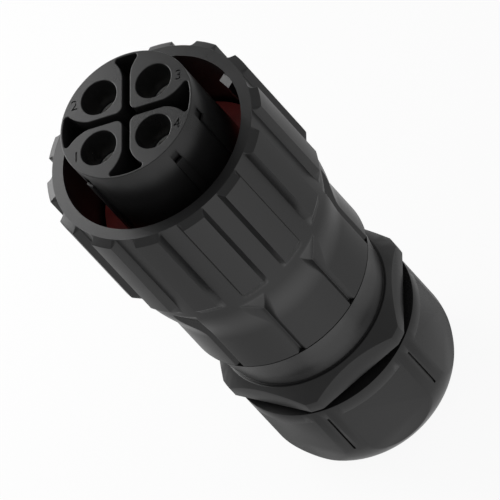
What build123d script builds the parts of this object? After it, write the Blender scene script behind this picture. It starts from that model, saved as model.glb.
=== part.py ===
from build123d import *
import math
import os

# Four-way twist-lock cable connector, standing on its gland nut.
# Millimetres. Z runs along the axis, from the nut's rear face up to the mating face.

# Clearances
RUNNING_FIT = 0.06
SEATING_FIT = 0.05
SLIDE_FIT = 0.1
FACE_GAP = 0.2
BODY_GAP = 0.35

# Small edges
RING_EDGE = 0.4
RIM_EDGE = 0.35
NUT_EDGE = 0.3
INSERT_CHAMFER = 0.25

# Contacts
CONTACT_CIRCLE_RADIUS = 6.54
CONTACT_HOLE_RADIUS = 3.0
CONTACT_HOLE_DEPTH = 18.5
CONTACT_RECESS = 5.4
CONTACT_RADIUS = 2.5
CONTACT_BORE_RADIUS = 1.8
CONTACT_BORE_DEPTH = 15.0
CONTACT_SPLIT_WIDTH = 0.4
CONTACT_SPLIT_LENGTH = 10.0
HOOD_WALL = 0.3
HOOD_SETBACK = 1.5
COLLAR_RADIUS = 3.6
COLLAR_THICKNESS = 1.6
TERMINAL_RADIUS = 3.0
TERMINAL_LENGTH = 10.5
WIRE_BORE_RADIUS = 1.9
WIRE_BORE_DEPTH = 9.0
SCREW_RADIUS = 1.25
SCREW_LENGTH = 2.2
SCREW_SETBACK = 4.0
SCREW_SLOT = 0.5
RETAINER_THICKNESS = 2.0
RETAINER_HOLE_RADIUS = TERMINAL_RADIUS + SLIDE_FIT

# Insert and inner shell, built outwards from the contacts
INSERT_WALL = 0.61
INSERT_STEP = 0.4
INSERT_BODY_LENGTH = 14.2
INSERT_BODY_RADIUS = CONTACT_CIRCLE_RADIUS + COLLAR_RADIUS + INSERT_WALL
TUBE_WALL = 1.8
TUBE_BORE_RADIUS = INSERT_BODY_RADIUS + SEATING_FIT
TUBE_RADIUS = TUBE_BORE_RADIUS + TUBE_WALL
INSERT_RADIUS = TUBE_BORE_RADIUS + INSERT_STEP
FLANGE_WIDTH = 2.2
FLANGE_THICKNESS = 3.0
FLANGE_RADIUS = TUBE_RADIUS + FLANGE_WIDTH
THREAD_ENGAGEMENT = 10.2
COUNTERBORE_RADIUS = TUBE_RADIUS + SEATING_FIT
SLOT_WIDTH = 1.3
SLOT_DEPTH = 15.0
SLOT_RIM = 0.4
SLOT_OUTER_RADIUS = INSERT_RADIUS - SLOT_RIM
SLOT_FLARE_START = 6.4
SLOT_FLARE_ANGLE = 18.5
SLOT_KEY_ANGLE = 12.5
SLOT_CORNER_RADIUS = 0.5
SLOT_JUNCTION_RADIUS = 1.2
SIDE_KEY_ANGLES = (-50.3, -10.8, 90.0, 160.0, -133.3)
SIDE_KEY_WIDTH = 1.3
SIDE_KEY_HEIGHT = 0.35
SIDE_KEY_SETBACK = 3.3
SIDE_KEY_LENGTH = 15.0
SIDE_POCKET_SETBACK = 1.7
SIDE_POCKET_DEPTH = 0.6
TORQUE_KEY_WIDTH = 1.6
TORQUE_KEY_HEIGHT = 0.9
TORQUE_KEY_LENGTH = 6.0

# Coupling ring, built outwards from the shell's flange
RING_MOUTH_RADIUS = FLANGE_RADIUS + BODY_GAP
RING_BORE_RADIUS = TUBE_RADIUS + RUNNING_FIT
RING_WALL = 1.85
LAND_HEIGHT = 1.25
RING_FLOOR_RADIUS = RING_MOUTH_RADIUS + RING_WALL
RING_LAND_RADIUS = RING_FLOOR_RADIUS + LAND_HEIGHT
WAIST_DROP = 1.35
RING_GRIP_RADIUS = RING_FLOOR_RADIUS - WAIST_DROP
LAND_COUNT = 14
LAND_PHASE = 9.14
LAND_TOP_HALF_ANGLE = 5.9
LAND_BASE_HALF_ANGLE = 7.2
VALLEY_COUNT = 9
VALLEY_PHASE = 6.4
VALLEY_DEPTH = 1.35
VALLEY_RADIUS = RING_GRIP_RADIUS - VALLEY_DEPTH
VALLEY_HALF_WIDTH = 1.2
VALLEY_RAMP_LENGTH = 6.6
LUG_COUNT = 3
LUG_PHASE = 39.2
LUG_HEIGHT = 1.2
LUG_WIDTH = 2.4
LUG_SETBACK = 2.3
LUG_LENGTH = 6.0
LUG_LEAD = 1.0
STOP_WIDTH = 2.0
STOP_DEPTH = 1.4
LOCK_ANGLE = 30.0

# Rings and seals
SEAL_THICKNESS = 1.0
SEAL_INNER_RADIUS = INSERT_RADIUS + SEATING_FIT
SEAL_OUTER_RADIUS = FLANGE_RADIUS - SEATING_FIT
WASHER_HEIGHT = 1.0
O_RING_SECTION = 0.5
O_RING_SIDES = 8
CIRCLIP_THICKNESS = 1.0
CIRCLIP_DEPTH = 0.7
CIRCLIP_GAP_ANGLE = 50.0

# Backshell, built outwards from the inner shell
DOME_WALL = 1.25
DOME_FRONT_RADIUS = RING_GRIP_RADIUS
DOME_FOOT_RADIUS = COUNTERBORE_RADIUS + DOME_WALL
HEX_STEP = 1.1
HEX_ACROSS_FLATS = 2 * (DOME_FOOT_RADIUS + HEX_STEP)
HEX_CORNER_STEP = 1.76
HEX_CORNER_RADIUS = HEX_ACROSS_FLATS / 2 + HEX_CORNER_STEP
HEX_THICKNESS = 4.5
HEX_CHAMFER = 2.36
HEX_PHASE = 0.7
SPIGOT_STEP = 0.75
SPIGOT_WALL = 2.4
SPIGOT_RADIUS = COUNTERBORE_RADIUS + SPIGOT_STEP
SPIGOT_BORE_RADIUS = SPIGOT_RADIUS - SPIGOT_WALL

# Gland, fitted inside and round the backshell's spigot
NUT_THREAD_GAP = 0.3
NUT_BORE_RADIUS = SPIGOT_RADIUS + NUT_THREAD_GAP
NUT_RIM_WALL = 2.2
NUT_FLAT_WALL = 1.05
NUT_RIM_RADIUS = NUT_BORE_RADIUS + NUT_RIM_WALL
NUT_ACROSS_FLATS = 2 * (NUT_BORE_RADIUS + NUT_FLAT_WALL)
NUT_PHASE = 59.7
NUT_LIP_LENGTH = 2.4
NUT_DOME_START = 6.6
NUT_DOME_RADIUS = 9.0
NUT_CABLE_RADIUS = 7.8
NUT_GROOVE_WIDTH = 0.35
NUT_GROOVE_DEPTH = 0.4
NUT_GROOVE_LENGTH = 9.0
CAGE_RADIUS = SPIGOT_BORE_RADIUS - SLIDE_FIT
CAGE_WALL = 1.6
CAGE_BORE_RADIUS = CAGE_RADIUS - CAGE_WALL
CAGE_LENGTH = 12.0
CAGE_FINGERS = 12
CAGE_SLIT_WIDTH = 1.1
CAGE_SLIT_LENGTH = 7.5
CAGE_HEAD_STEP = 1.2
CAGE_HEAD_RADIUS = SPIGOT_RADIUS - CAGE_HEAD_STEP
CAGE_HEAD_LENGTH = 2.2
GROMMET_RADIUS = CAGE_BORE_RADIUS - SLIDE_FIT
GROMMET_BORE_RADIUS = 6.0
GROMMET_LENGTH = 11.4
SLIP_RING_THICKNESS = 1.0
SLIP_RING_RADIUS = SPIGOT_RADIUS - SLIDE_FIT
SLIP_RING_BORE_RADIUS = NUT_CABLE_RADIUS + SLIDE_FIT

# Lengths along the axis, counted back from the mating face
MOUTH_DEPTH = 8.2
LAND_CHAMFER = 0.7
LAND_LENGTH = 18.9
LAND_RUN_OUT = 3.9
WAIST_LENGTH = 8.3
RING_LENGTH = 40.15
SEAL_FACE_DEPTH = 20.8
BACKSHELL_LENGTH = 13.05
NUT_STANDOFF = 1.5
NUT_LENGTH = 18.1
SPIGOT_STANDOFF = 7.2
RING_REAR_DEPTH = MOUTH_DEPTH + RING_LENGTH
HEX_REAR_DEPTH = RING_REAR_DEPTH + BACKSHELL_LENGTH
TOTAL_LENGTH = HEX_REAR_DEPTH + NUT_STANDOFF + NUT_LENGTH

# Places worked out from the sizes above, measured up from the nut's rear face
Z_FACE = TOTAL_LENGTH
Z_MOUTH = TOTAL_LENGTH - MOUTH_DEPTH
Z_LAND_FRONT = Z_MOUTH - LAND_CHAMFER
Z_LAND_REAR = Z_LAND_FRONT - LAND_LENGTH
Z_LAND_FOOT = Z_LAND_REAR - LAND_RUN_OUT
Z_WAIST_FOOT = Z_LAND_FOOT - WAIST_LENGTH
Z_RING_REAR = TOTAL_LENGTH - RING_REAR_DEPTH
Z_SEAL_FACE = TOTAL_LENGTH - SEAL_FACE_DEPTH
Z_FLANGE_FACE = Z_SEAL_FACE - SEAL_THICKNESS
Z_FLANGE_REAR = Z_FLANGE_FACE - FLANGE_THICKNESS
Z_RING_LEDGE = Z_FLANGE_REAR - WASHER_HEIGHT - FACE_GAP
Z_BACKSHELL_FRONT = Z_RING_REAR - FACE_GAP
Z_TUBE_REAR = Z_BACKSHELL_FRONT - THREAD_ENGAGEMENT
Z_HEX_REAR = TOTAL_LENGTH - HEX_REAR_DEPTH
Z_HEX_FRONT = Z_HEX_REAR + HEX_THICKNESS
Z_NUT_RIM = NUT_LENGTH
Z_SPIGOT_END = SPIGOT_STANDOFF
Z_CAGE_END = Z_SPIGOT_END - CAGE_HEAD_LENGTH
Z_CAGE_TOP = Z_CAGE_END + CAGE_LENGTH
Z_SLIP_TOP = Z_CAGE_END - BODY_GAP
Z_SLIP_FOOT = Z_SLIP_TOP - SLIP_RING_THICKNESS
Z_NUT_FLOOR = Z_SLIP_FOOT - SEATING_FIT
Z_INSERT_REAR = Z_FLANGE_FACE - INSERT_BODY_LENGTH
Z_CONTACT_TIP = Z_FACE - CONTACT_RECESS
Z_HOOD_FOOT = Z_FACE - CONTACT_HOLE_DEPTH + HOOD_SETBACK
Z_COLLAR_FOOT = Z_INSERT_REAR - COLLAR_THICKNESS
Z_RETAINER_FOOT = Z_COLLAR_FOOT - RETAINER_THICKNESS
Z_CIRCLIP_FOOT = Z_RETAINER_FOOT - CIRCLIP_THICKNESS
Z_TERMINAL_END = Z_COLLAR_FOOT - TERMINAL_LENGTH
Z_SCREW = Z_TERMINAL_END + SCREW_SETBACK
Z_INSERT_O_RING = Z_INSERT_REAR + INSERT_BODY_LENGTH / 2
Z_SHELL_O_RING = (Z_TUBE_REAR + Z_BACKSHELL_FRONT) / 2

os.makedirs("parts", exist_ok=True)


def save(solid, name):
    """Write one piece to its own STEP file."""
    solid.label = name
    export_step(solid, f"parts/{name}.step")


def turned(points):
    """Revolve a closed outline of (radius, height) points about Z."""
    with BuildPart() as piece:
        with BuildSketch(Plane.XZ):
            with BuildLine():
                Polyline(*points, close=True)
            make_face()
        revolve(axis=Axis.Z)
    return piece.part


def tube(outer, inner, foot, top):
    """A plain ring between two heights."""
    return turned([(inner, foot), (outer, foot), (outer, top), (inner, top)])


def rod(radius, foot, top, x=0.0, y=0.0):
    """A plain cylinder along Z between two heights."""
    height = top - foot
    solid = Cylinder(radius, height, align=(Align.CENTER, Align.CENTER, Align.MIN))
    return Pos(x, y, foot) * solid


def block(x_span, y_span, z_span):
    """A box from its three (low, high) spans."""
    size = [high - low for low, high in (x_span, y_span, z_span)]
    low = [span[0] for span in (x_span, y_span, z_span)]
    box = Box(*size, align=(Align.MIN, Align.MIN, Align.MIN))
    return Pos(*low) * box


def polar(radius, angle):
    """The point at a radius and an angle in degrees."""
    turn = math.radians(angle)
    return (radius * math.cos(turn), radius * math.sin(turn))


def spread(count, phase):
    """Evenly spaced angles in degrees."""
    return [phase + 360.0 * i / count for i in range(count)]


def grip_land():
    """One raised grip land with sloped sides, before its ends are shaped."""
    inner = RING_FLOOR_RADIUS - RING_EDGE
    outer = RING_LAND_RADIUS + RING_EDGE
    slope = (LAND_BASE_HALF_ANGLE - LAND_TOP_HALF_ANGLE) / (RING_LAND_RADIUS - RING_FLOOR_RADIUS)
    foot_angle = LAND_BASE_HALF_ANGLE + slope * RING_EDGE
    head_angle = LAND_TOP_HALF_ANGLE - slope * RING_EDGE
    corners = [
        polar(inner, -foot_angle),
        polar(outer, -head_angle),
        polar(outer, head_angle),
        polar(inner, foot_angle),
    ]
    with BuildPart() as land:
        with BuildSketch(Plane.XY.offset(Z_LAND_FOOT)):
            with BuildLine():
                Polyline(*corners, close=True)
            make_face()
        extrude(amount=Z_MOUTH - Z_LAND_FOOT)
    return land.part


def land_envelope():
    """The turned outline that the lands' tops, fronts and run-outs follow."""
    core = RING_GRIP_RADIUS
    return turned([
        (core, Z_LAND_FOOT),
        (RING_FLOOR_RADIUS, Z_LAND_FOOT),
        (RING_LAND_RADIUS, Z_LAND_REAR),
        (RING_LAND_RADIUS, Z_LAND_FRONT),
        (RING_FLOOR_RADIUS, Z_MOUTH),
        (core, Z_MOUTH),
    ])


def valley():
    """One V-shaped finger valley, shallow in front and full depth behind."""
    reach = RING_FLOOR_RADIUS + RING_EDGE
    spread_at_reach = VALLEY_HALF_WIDTH * (reach - VALLEY_RADIUS) / (RING_GRIP_RADIUS - VALLEY_RADIUS)
    foot = Z_RING_REAR - RING_EDGE
    with BuildPart() as wedge:
        with BuildSketch(Plane.XY.offset(foot)):
            with BuildLine():
                Polyline((VALLEY_RADIUS, 0), (reach, -spread_at_reach), (reach, spread_at_reach), close=True)
            make_face()
        extrude(amount=Z_LAND_FOOT - foot)
    run_in = turned([
        (0, Z_LAND_FOOT - VALLEY_RAMP_LENGTH),
        (VALLEY_RADIUS, Z_LAND_FOOT - VALLEY_RAMP_LENGTH),
        (RING_FLOOR_RADIUS, Z_LAND_FOOT),
        (0, Z_LAND_FOOT),
    ])
    return wedge.part - run_in


def locking_lug():
    """One bayonet rib on the ring's inner wall."""
    top = Z_MOUTH - LUG_SETBACK
    foot = top - LUG_LENGTH
    inner = RING_MOUTH_RADIUS - LUG_HEIGHT
    outer = RING_MOUTH_RADIUS + RING_EDGE
    with BuildPart() as lug:
        with BuildSketch(Plane.XZ):
            with BuildLine():
                Polyline(
                    (outer, foot),
                    (inner, foot + LUG_LEAD),
                    (inner, top - LUG_LEAD / 2),
                    (outer, top),
                    close=True,
                )
            make_face()
        extrude(amount=LUG_WIDTH / 2, both=True)
    return lug.part


def stop_nib():
    """The nib that runs in the flange's notch and ends the ring's turn."""
    inner = FLANGE_RADIUS - STOP_DEPTH + BODY_GAP
    top = Z_FLANGE_REAR + STOP_DEPTH
    return block(
        (inner, RING_MOUTH_RADIUS + RING_EDGE),
        (-STOP_WIDTH / 2, STOP_WIDTH / 2),
        (Z_RING_LEDGE - RING_EDGE, top),
    )


def ring_blank():
    """The ring's turned body, which narrows to its waist in one smooth curve."""
    with BuildPart() as blank:
        with BuildSketch(Plane.XZ):
            with BuildLine():
                Polyline(
                    (RING_FLOOR_RADIUS, Z_LAND_FOOT),
                    (RING_FLOOR_RADIUS, Z_MOUTH),
                    (RING_MOUTH_RADIUS, Z_MOUTH),
                    (RING_MOUTH_RADIUS, Z_RING_LEDGE),
                    (RING_BORE_RADIUS, Z_RING_LEDGE),
                    (RING_BORE_RADIUS, Z_RING_REAR),
                    (RING_GRIP_RADIUS, Z_RING_REAR),
                    (RING_GRIP_RADIUS, Z_WAIST_FOOT),
                )
                Spline(
                    (RING_GRIP_RADIUS, Z_WAIST_FOOT),
                    (RING_FLOOR_RADIUS, Z_LAND_FOOT),
                    tangents=((0, 1), (0, 1)),
                )
            make_face()
        revolve(axis=Axis.Z)
    return blank.part


def coupling_ring():
    """The bayonet ring: grip lands in front, finger valleys behind, lugs inside."""
    body = ring_blank()
    land = grip_land() & land_envelope()
    body = body + [Rot(0, 0, angle) * land for angle in spread(LAND_COUNT, LAND_PHASE)]
    cut = valley()
    body = body - [Rot(0, 0, angle) * cut for angle in spread(VALLEY_COUNT, VALLEY_PHASE)]
    lug = locking_lug()
    body = body + [Rot(0, 0, angle) * lug for angle in spread(LUG_COUNT, LUG_PHASE)]
    return body + Rot(0, 0, LUG_PHASE) * stop_nib()


def stop_notch():
    """The notch in the flange's rim that the ring's nib turns in."""
    half = math.degrees((STOP_WIDTH / 2 + BODY_GAP) / FLANGE_RADIUS)
    start = LUG_PHASE - half
    sweep = LOCK_ANGLE + 2 * half
    inner = FLANGE_RADIUS - STOP_DEPTH
    outer = FLANGE_RADIUS + BODY_GAP
    height = STOP_DEPTH + BODY_GAP
    with BuildPart() as notch:
        with BuildSketch(Plane.XZ.rotated((0, 0, start))):
            with BuildLine():
                Polyline(
                    (inner, Z_FLANGE_REAR - BODY_GAP),
                    (outer, Z_FLANGE_REAR - BODY_GAP),
                    (outer, Z_FLANGE_REAR + height),
                    (inner, Z_FLANGE_REAR + height),
                    close=True,
                )
            make_face()
        revolve(axis=Axis.Z, revolution_arc=sweep)
    return notch.part


def inner_shell():
    """The tube that holds the insert and that the ring turns on."""
    body = tube(TUBE_RADIUS, TUBE_BORE_RADIUS, Z_TUBE_REAR, Z_FLANGE_FACE)
    body = body + tube(FLANGE_RADIUS, TUBE_BORE_RADIUS, Z_FLANGE_REAR, Z_FLANGE_FACE)
    body = body - stop_notch()
    key_slot = block(
        (TUBE_BORE_RADIUS - CIRCLIP_DEPTH, TUBE_BORE_RADIUS + TORQUE_KEY_HEIGHT),
        (-TORQUE_KEY_WIDTH / 2 - SEATING_FIT, TORQUE_KEY_WIDTH / 2 + SEATING_FIT),
        (Z_FLANGE_FACE - TORQUE_KEY_LENGTH - SEATING_FIT, Z_FLANGE_FACE),
    )
    body = body - Rot(0, 0, 90) * key_slot
    body = body - tube(
        TUBE_BORE_RADIUS + CIRCLIP_DEPTH + SEATING_FIT,
        TUBE_BORE_RADIUS - CIRCLIP_DEPTH,
        Z_CIRCLIP_FOOT - SEATING_FIT,
        Z_RETAINER_FOOT,
    )
    return body - o_ring_groove(TUBE_RADIUS, COUNTERBORE_RADIUS, Z_SHELL_O_RING)


def o_ring_groove(outer, wall, height):
    """The groove for a round ring that seals against a wall outside it."""
    floor = wall - 2 * O_RING_SECTION - SEATING_FIT
    half = O_RING_SECTION + SEATING_FIT
    return tube(outer + RING_EDGE, floor, height - half, height + half)


def o_ring(wall, height):
    """A sealing ring that just reaches the wall outside it."""
    centre = wall - O_RING_SECTION - SEATING_FIT / 2
    section = [polar(O_RING_SECTION, angle) for angle in spread(O_RING_SIDES, 180 / O_RING_SIDES)]
    return turned([(centre + x, height + y) for x, y in section])


def contact_angles():
    """Holes 1 to 4, in the order of their numbers seen from the mating side."""
    return [-135.0, 135.0, 45.0, -45.0]


def slot_arm(corner_angle):
    """Half the outline of one arm of the cross slot, mirrored about its own axis."""
    corner = polar(SLOT_OUTER_RADIUS, corner_angle)
    half = SLOT_WIDTH / 2
    middle_x = (SLOT_FLARE_START + corner[0]) / 2 + half / 3
    middle_y = (half + corner[1]) / 2 - half * 0.7
    with BuildSketch() as arm:
        with BuildLine():
            Line((0, 0), (0, half))
            Line((0, half), (SLOT_FLARE_START, half))
            ThreePointArc((SLOT_FLARE_START, half), (middle_x, middle_y), corner)
            ThreePointArc(corner, (SLOT_OUTER_RADIUS, 0), (corner[0], -corner[1]))
            ThreePointArc((corner[0], -corner[1]), (middle_x, -middle_y), (SLOT_FLARE_START, -half))
            Line((SLOT_FLARE_START, -half), (0, -half))
            Line((0, -half), (0, 0))
        make_face()
        tips = [v for v in arm.vertices() if abs(math.hypot(v.X, v.Y) - SLOT_OUTER_RADIUS) < SEATING_FIT]
        fillet(tips, SLOT_CORNER_RADIUS)
    return arm.sketch


def cross_slot():
    """The cross-shaped slot between the contacts, with one narrower keyed arm."""
    junction = SLOT_WIDTH / math.sqrt(2)
    with BuildPart() as slot:
        with BuildSketch(Plane.XY.offset(Z_FACE - SLOT_DEPTH)) as cross:
            for angle in (0.0, 90.0, 180.0, 270.0):
                corner_angle = SLOT_KEY_ANGLE if angle == 90.0 else SLOT_FLARE_ANGLE
                add(slot_arm(corner_angle), rotation=angle)
            corners = [v for v in cross.vertices() if abs(math.hypot(v.X, v.Y) - junction) < SEATING_FIT]
            fillet(corners, SLOT_JUNCTION_RADIUS)
        extrude(amount=SLOT_DEPTH)
    return slot.part


def side_key():
    """One low coding rib on the insert's side."""
    top = Z_FACE - SIDE_KEY_SETBACK
    return block(
        (INSERT_RADIUS - SIDE_KEY_HEIGHT, INSERT_RADIUS + SIDE_KEY_HEIGHT),
        (-SIDE_KEY_WIDTH / 2, SIDE_KEY_WIDTH / 2),
        (top - SIDE_KEY_LENGTH, top),
    )


def side_pocket():
    """The small pocket in front of a coding rib."""
    return block(
        (INSERT_RADIUS - SIDE_POCKET_DEPTH, INSERT_RADIUS + SIDE_KEY_HEIGHT),
        (-SIDE_KEY_WIDTH / 2, SIDE_KEY_WIDTH / 2),
        (Z_FACE - SIDE_KEY_SETBACK, Z_FACE - SIDE_POCKET_SETBACK),
    )


def contact_insert():
    """The moulded insulator that carries the four contacts."""
    body = rod(INSERT_RADIUS, Z_FLANGE_FACE, Z_FACE)
    body = chamfer(body.edges().group_by(Axis.Z)[-1], INSERT_CHAMFER)
    body = body + rod(INSERT_BODY_RADIUS, Z_INSERT_REAR, Z_FLANGE_FACE)
    torque_key = block(
        (INSERT_BODY_RADIUS - TORQUE_KEY_HEIGHT, INSERT_BODY_RADIUS + TORQUE_KEY_HEIGHT),
        (-TORQUE_KEY_WIDTH / 2, TORQUE_KEY_WIDTH / 2),
        (Z_FLANGE_FACE - TORQUE_KEY_LENGTH, Z_FLANGE_FACE),
    )
    body = body + Rot(0, 0, 90) * torque_key
    body = body + [Rot(0, 0, angle) * side_key() for angle in SIDE_KEY_ANGLES]
    body = body - [Rot(0, 0, angle) * side_pocket() for angle in SIDE_KEY_ANGLES]
    body = body - cross_slot()
    for angle in contact_angles():
        x, y = polar(CONTACT_CIRCLE_RADIUS, angle)
        body = body - rod(CONTACT_HOLE_RADIUS, Z_FACE - CONTACT_HOLE_DEPTH, Z_FACE, x, y)
        body = body - rod(CONTACT_RADIUS + SEATING_FIT, Z_INSERT_REAR, Z_FACE, x, y)
    return body - o_ring_groove(INSERT_BODY_RADIUS, TUBE_BORE_RADIUS, Z_INSERT_O_RING)


def contact_retainer():
    """The plate that holds the contacts' collars against the insert."""
    plate = rod(INSERT_BODY_RADIUS, Z_RETAINER_FOOT, Z_COLLAR_FOOT)
    for angle in contact_angles():
        x, y = polar(CONTACT_CIRCLE_RADIUS, angle)
        plate = plate - rod(RETAINER_HOLE_RADIUS, Z_RETAINER_FOOT, Z_COLLAR_FOOT, x, y)
    return plate


def insert_circlip():
    """The open spring ring in the tube's groove, behind the retainer plate."""
    inner = TUBE_BORE_RADIUS - CIRCLIP_DEPTH
    outer = TUBE_BORE_RADIUS + CIRCLIP_DEPTH
    foot = Z_CIRCLIP_FOOT
    with BuildPart() as clip:
        with BuildSketch(Plane.XZ):
            with BuildLine():
                Polyline(
                    (inner, foot),
                    (outer, foot),
                    (outer, foot + CIRCLIP_THICKNESS),
                    (inner, foot + CIRCLIP_THICKNESS),
                    close=True,
                )
            make_face()
        revolve(axis=Axis.Z, revolution_arc=360.0 - CIRCLIP_GAP_ANGLE)
    return clip.part


def socket_contact():
    """A turned socket about its own Z axis, split at the tip."""
    body = rod(CONTACT_RADIUS, Z_COLLAR_FOOT, Z_CONTACT_TIP)
    body = body + rod(COLLAR_RADIUS, Z_COLLAR_FOOT, Z_INSERT_REAR)
    body = body + rod(TERMINAL_RADIUS, Z_TERMINAL_END, Z_COLLAR_FOOT)
    body = body - rod(CONTACT_BORE_RADIUS, Z_CONTACT_TIP - CONTACT_BORE_DEPTH, Z_CONTACT_TIP)
    body = body - rod(WIRE_BORE_RADIUS, Z_TERMINAL_END, Z_TERMINAL_END + WIRE_BORE_DEPTH)
    half = CONTACT_SPLIT_WIDTH / 2
    reach = CONTACT_RADIUS + RING_EDGE
    split_span = (Z_CONTACT_TIP - CONTACT_SPLIT_LENGTH, Z_CONTACT_TIP)
    body = body - block((-reach, reach), (-half, half), split_span)
    body = body - block((-half, half), (-reach, reach), split_span)
    return body - screw_core(SCREW_RADIUS + SEATING_FIT, 0, TERMINAL_RADIUS + RING_EDGE)


def screw_core(radius, start, end):
    """A cylinder that points outwards through the terminal's wall."""
    solid = Cylinder(radius, end - start, align=(Align.CENTER, Align.CENTER, Align.MIN))
    return Pos(start, 0, Z_SCREW) * Rot(0, 90, 0) * solid


def terminal_screw():
    """A slotted grub screw that clamps the wire in its terminal."""
    end = TERMINAL_RADIUS + FACE_GAP
    body = screw_core(SCREW_RADIUS, end - SCREW_LENGTH, end)
    half = SCREW_SLOT / 2
    reach = SCREW_RADIUS + RING_EDGE
    slot = block((end - SCREW_SLOT, end), (-half, half), (Z_SCREW - reach, Z_SCREW + reach))
    return body - slot


def contact_hood():
    """The spring sleeve round a contact's split tip."""
    inner = CONTACT_RADIUS + SEATING_FIT
    return tube(inner + HOOD_WALL, inner, Z_HOOD_FOOT, Z_CONTACT_TIP)


def at_contact(solid, angle):
    """Turn a piece outwards and place it on the contacts' circle."""
    x, y = polar(CONTACT_CIRCLE_RADIUS, angle)
    return Pos(x, y, 0) * Rot(0, 0, angle) * solid


def interface_seal():
    """The flat red ring that the mating shell presses on."""
    return tube(SEAL_OUTER_RADIUS, SEAL_INNER_RADIUS, Z_FLANGE_FACE, Z_SEAL_FACE)


def wave_washer():
    """A flat-coiled spring washer between the flange and the ring's ledge."""
    inner = RING_BORE_RADIUS + SEATING_FIT
    outer = FLANGE_RADIUS - STOP_DEPTH - SEATING_FIT
    foot = Z_FLANGE_REAR - WASHER_HEIGHT
    low = tube(outer, inner, foot, foot + WASHER_HEIGHT / 2)
    waves = tube(outer, inner, foot + WASHER_HEIGHT / 2, Z_FLANGE_REAR)
    for angle in spread(3, 0):
        wedge = block((0, outer * 2), (-outer / 3, outer / 3), (foot, Z_FLANGE_REAR))
        waves = waves - Rot(0, 0, angle) * wedge
    return low + waves


def backshell():
    """Dome, hexagon flange and rear spigot in one piece."""
    neck_top = Z_TUBE_REAR - FACE_GAP
    neck_foot = Z_CAGE_TOP + FACE_GAP
    with BuildPart() as dome:
        with BuildSketch(Plane.XZ):
            with BuildLine():
                Line((COUNTERBORE_RADIUS, Z_BACKSHELL_FRONT), (DOME_FRONT_RADIUS, Z_BACKSHELL_FRONT))
                Line(
                    (DOME_FRONT_RADIUS, Z_BACKSHELL_FRONT),
                    (DOME_FRONT_RADIUS - RIM_EDGE, Z_BACKSHELL_FRONT - RIM_EDGE),
                )
                ThreePointArc(
                    (DOME_FRONT_RADIUS - RIM_EDGE, Z_BACKSHELL_FRONT - RIM_EDGE),
                    (
                        (DOME_FRONT_RADIUS + DOME_FOOT_RADIUS) / 2 - RIM_EDGE / 2,
                        (Z_BACKSHELL_FRONT + Z_HEX_FRONT) / 2,
                    ),
                    (DOME_FOOT_RADIUS, Z_HEX_FRONT),
                )
                Line((DOME_FOOT_RADIUS, Z_HEX_FRONT), (DOME_FOOT_RADIUS, Z_HEX_REAR))
                Line((DOME_FOOT_RADIUS, Z_HEX_REAR), (COUNTERBORE_RADIUS, Z_HEX_REAR))
                Line((COUNTERBORE_RADIUS, Z_HEX_REAR), (COUNTERBORE_RADIUS, Z_BACKSHELL_FRONT))
            make_face()
        revolve(axis=Axis.Z)
    body = dome.part + hex_flange()
    body = body + turned([
        (0, Z_SPIGOT_END),
        (SPIGOT_RADIUS - RIM_EDGE, Z_SPIGOT_END),
        (SPIGOT_RADIUS, Z_SPIGOT_END + RIM_EDGE),
        (SPIGOT_RADIUS, Z_HEX_FRONT),
        (0, Z_HEX_FRONT),
    ])
    body = body - rod(COUNTERBORE_RADIUS, neck_top, Z_BACKSHELL_FRONT)
    body = body - rod(NUT_CABLE_RADIUS, neck_foot, neck_top)
    return body - rod(SPIGOT_BORE_RADIUS, Z_SPIGOT_END, neck_foot)


def hexagon(across_flats, phase, foot, top):
    """A six-sided prism with the middle of one flat at an angle."""
    with BuildPart() as prism:
        with BuildSketch(Plane.XY.offset(foot)):
            with BuildLine():
                corner = across_flats / 2 / math.cos(math.radians(30))
                Polyline(*[polar(corner, angle) for angle in spread(6, phase + 30)], close=True)
            make_face()
        extrude(amount=top - foot)
    return prism.part


def hex_flange():
    """The hexagon for the spanner, turned at its corners and chamfered in front."""
    bevel_radius = HEX_CORNER_RADIUS - HEX_CHAMFER
    outline = turned([
        (0, Z_HEX_REAR),
        (HEX_CORNER_RADIUS, Z_HEX_REAR),
        (HEX_CORNER_RADIUS, Z_HEX_FRONT - HEX_CHAMFER),
        (bevel_radius, Z_HEX_FRONT),
        (0, Z_HEX_FRONT),
    ])
    return hexagon(HEX_ACROSS_FLATS, HEX_PHASE, Z_HEX_REAR, Z_HEX_FRONT) & outline


def shell_o_ring():
    """The seal between the inner shell and the backshell."""
    return o_ring(COUNTERBORE_RADIUS, Z_SHELL_O_RING)


def insert_o_ring():
    """The seal between the insert and the inner shell."""
    return o_ring(TUBE_BORE_RADIUS, Z_INSERT_O_RING)


def nut_outline():
    """The gland nut's turned outside, with its rounded rear end."""
    with BuildPart() as outline:
        with BuildSketch(Plane.XZ):
            with BuildLine():
                centre = NUT_RIM_RADIUS - NUT_DOME_RADIUS
                drop = NUT_DOME_START - NUT_EDGE
                knee = centre + math.sqrt(NUT_DOME_RADIUS ** 2 - drop ** 2)
                half_drop = drop / 2
                middle = centre + math.sqrt(NUT_DOME_RADIUS ** 2 - half_drop ** 2)
                Line((0, 0), (knee - NUT_EDGE, 0))
                Line((knee - NUT_EDGE, 0), (knee, NUT_EDGE))
                ThreePointArc(
                    (knee, NUT_EDGE),
                    (middle, NUT_DOME_START - half_drop),
                    (NUT_RIM_RADIUS, NUT_DOME_START),
                )
                Line((NUT_RIM_RADIUS, NUT_DOME_START), (NUT_RIM_RADIUS, Z_NUT_RIM))
                Line((NUT_RIM_RADIUS, Z_NUT_RIM), (0, Z_NUT_RIM))
                Line((0, Z_NUT_RIM), (0, 0))
            make_face()
        revolve(axis=Axis.Z)
    return outline.part


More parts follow.
